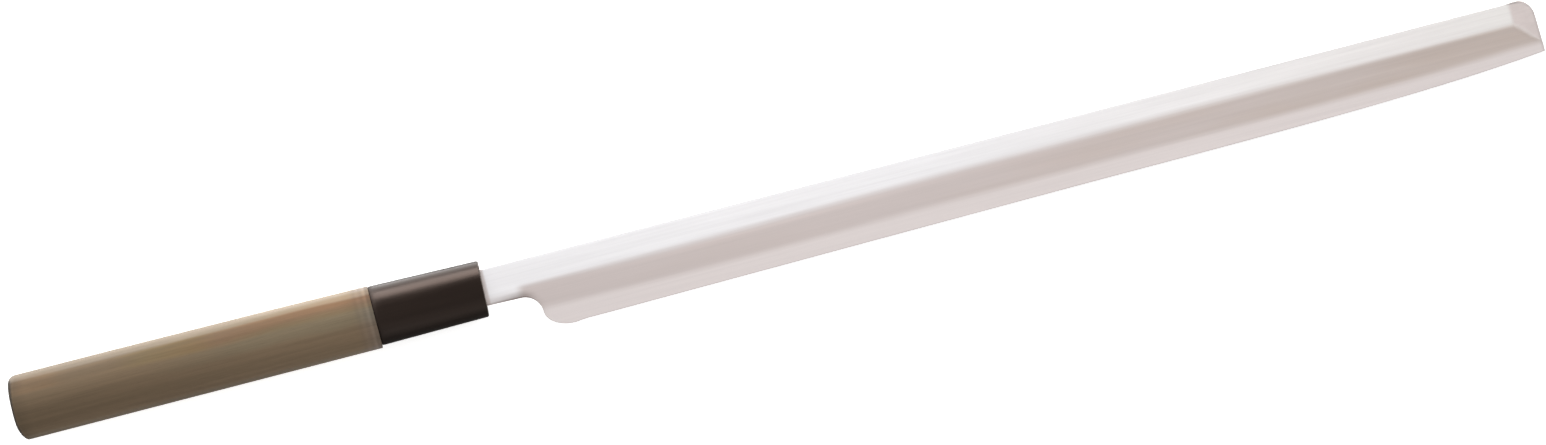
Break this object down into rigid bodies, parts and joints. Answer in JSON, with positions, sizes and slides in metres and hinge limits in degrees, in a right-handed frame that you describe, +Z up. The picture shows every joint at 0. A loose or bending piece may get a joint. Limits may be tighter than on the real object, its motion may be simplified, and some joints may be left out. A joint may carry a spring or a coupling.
{
  "type": "takohiki knife",
  "caption": "Long narrow single-bevel slicing knife with a square tip, a hollow-ground left side and a one-piece wooden grip with a black collar, for cutting raw fish into thin slices.",
  "frame": {"origin": "centre of the knife's box at the level of the table it lies on, left side down", "axes": "+X along the knife from the butt to the tip, +Y across the blade towards the spine, +Z up, out of the bevelled right side"},
  "size_m": [0.5206, 0.0296, 0.0198],
  "materials": {
    "blade_steel": "satin, ground lengthwise",
    "grip_wood": "smooth, oiled, low sheen",
    "ferrule_horn": "polished black horn",
    "bedding_resin": "cured resin",
    "mouth_filler": "dark cured filler"
  },
  "bodies": {
    "root": {"blade": "blade_steel", "handle_body": "grip_wood", "ferrule": "ferrule_horn", "tang_bedding": "bedding_resin", "mouth_seal": "mouth_filler"}
  },
  "joints": []
}
